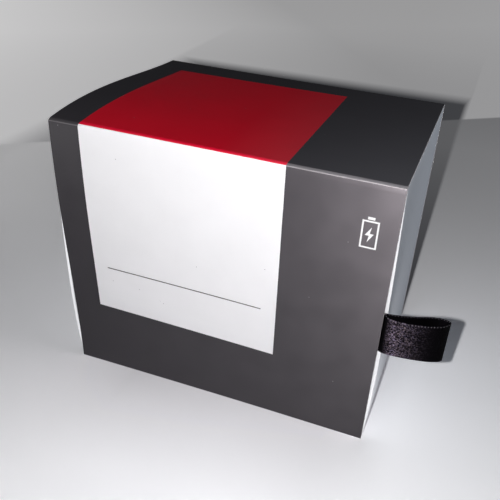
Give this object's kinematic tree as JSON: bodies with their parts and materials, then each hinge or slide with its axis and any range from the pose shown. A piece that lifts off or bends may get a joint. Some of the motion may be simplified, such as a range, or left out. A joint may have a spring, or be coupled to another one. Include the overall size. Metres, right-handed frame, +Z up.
{
  "type": "hearing aid charger in a sleeve box",
  "caption": "Card sleeve box with a pull-out drawer tray on a ribbon loop, holding a two-well hearing aid charger with a hinged lid and a push button.",
  "frame": {"origin": "centre of the sleeve's flat bottom face", "axes": "+X along the printed front to the right, towards the ribbon pull; +Y from the front panel into the box; +Z up"},
  "size_m": [0.1453, 0.0894, 0.1077],
  "materials": {
    "printed_card": "satin",
    "white_card": "matte",
    "black_satin": "satin",
    "grey_foam": "matte",
    "white_housing": "matte",
    "grey_deck": "matte",
    "copper_wire": "gloss",
    "green_board": "gloss",
    "plated_screw": "satin",
    "black_chip": "matte",
    "plated_can": "satin",
    "white_lamp": "gloss",
    "clear_guide": "gloss",
    "switch_plunger": "matte",
    "button_rubber": "matte",
    "nickel_magnet": "gloss",
    "black_rubber": "matte",
    "pin_steel": "polished",
    "soft_liner": "matte",
    "copper_coil": "satin",
    "ferrite": "matte"
  },
  "bodies": {
    "sleeve": {"sleeve": "printed_card"},
    "drawer": {"tray": "white_card", "ribbon_pull": "black_satin", "insert": "grey_foam", "base_shell": "white_housing", "deck": "grey_deck", "coil_leads": "copper_wire", "main_board": "green_board", "board_screws": "plated_screw", "board_chips": "black_chip", "usb_c_socket": "plated_can", "status_leds": "white_lamp", "light_guide": "clear_guide", "switch_body": "black_chip", "base_magnets": "nickel_magnet", "housing_screws": "plated_screw", "rubber_feet": "black_rubber", "hinge_pin": "pin_steel", "well_liner_left": "soft_liner", "charging_coil_left": "copper_coil", "ferrite_left": "ferrite", "well_liner_right": "soft_liner", "charging_coil_right": "copper_coil", "ferrite_right": "ferrite"},
    "charger_lid": {"lid_shell": "white_housing", "lid_liner": "grey_deck", "lid_magnets": "nickel_magnet", "lid_cushion_left": "soft_liner", "lid_cushion_right": "soft_liner"},
    "push_button": {"button_cap": "button_rubber", "switch_plunger": "switch_plunger"}
  },
  "joints": [
    {"name": "drawer_slide", "type": "slide", "parent": "sleeve", "child": "drawer", "axis": [1, 0, 0], "range_m": [0, 0.115]},
    {"name": "lid_hinge", "type": "hinge", "parent": "drawer", "child": "charger_lid", "pos_m": [0, 0.01435, 0.0647], "axis": [-1, 0, 0], "range_deg": [0, 100]},
    {"name": "button_press", "type": "slide", "parent": "drawer", "child": "push_button", "axis": [0, 1, 0], "range_m": [0, 0.0006], "stiffness_N_per_m": 1500, "springref_m": -0.0003}
  ]
}
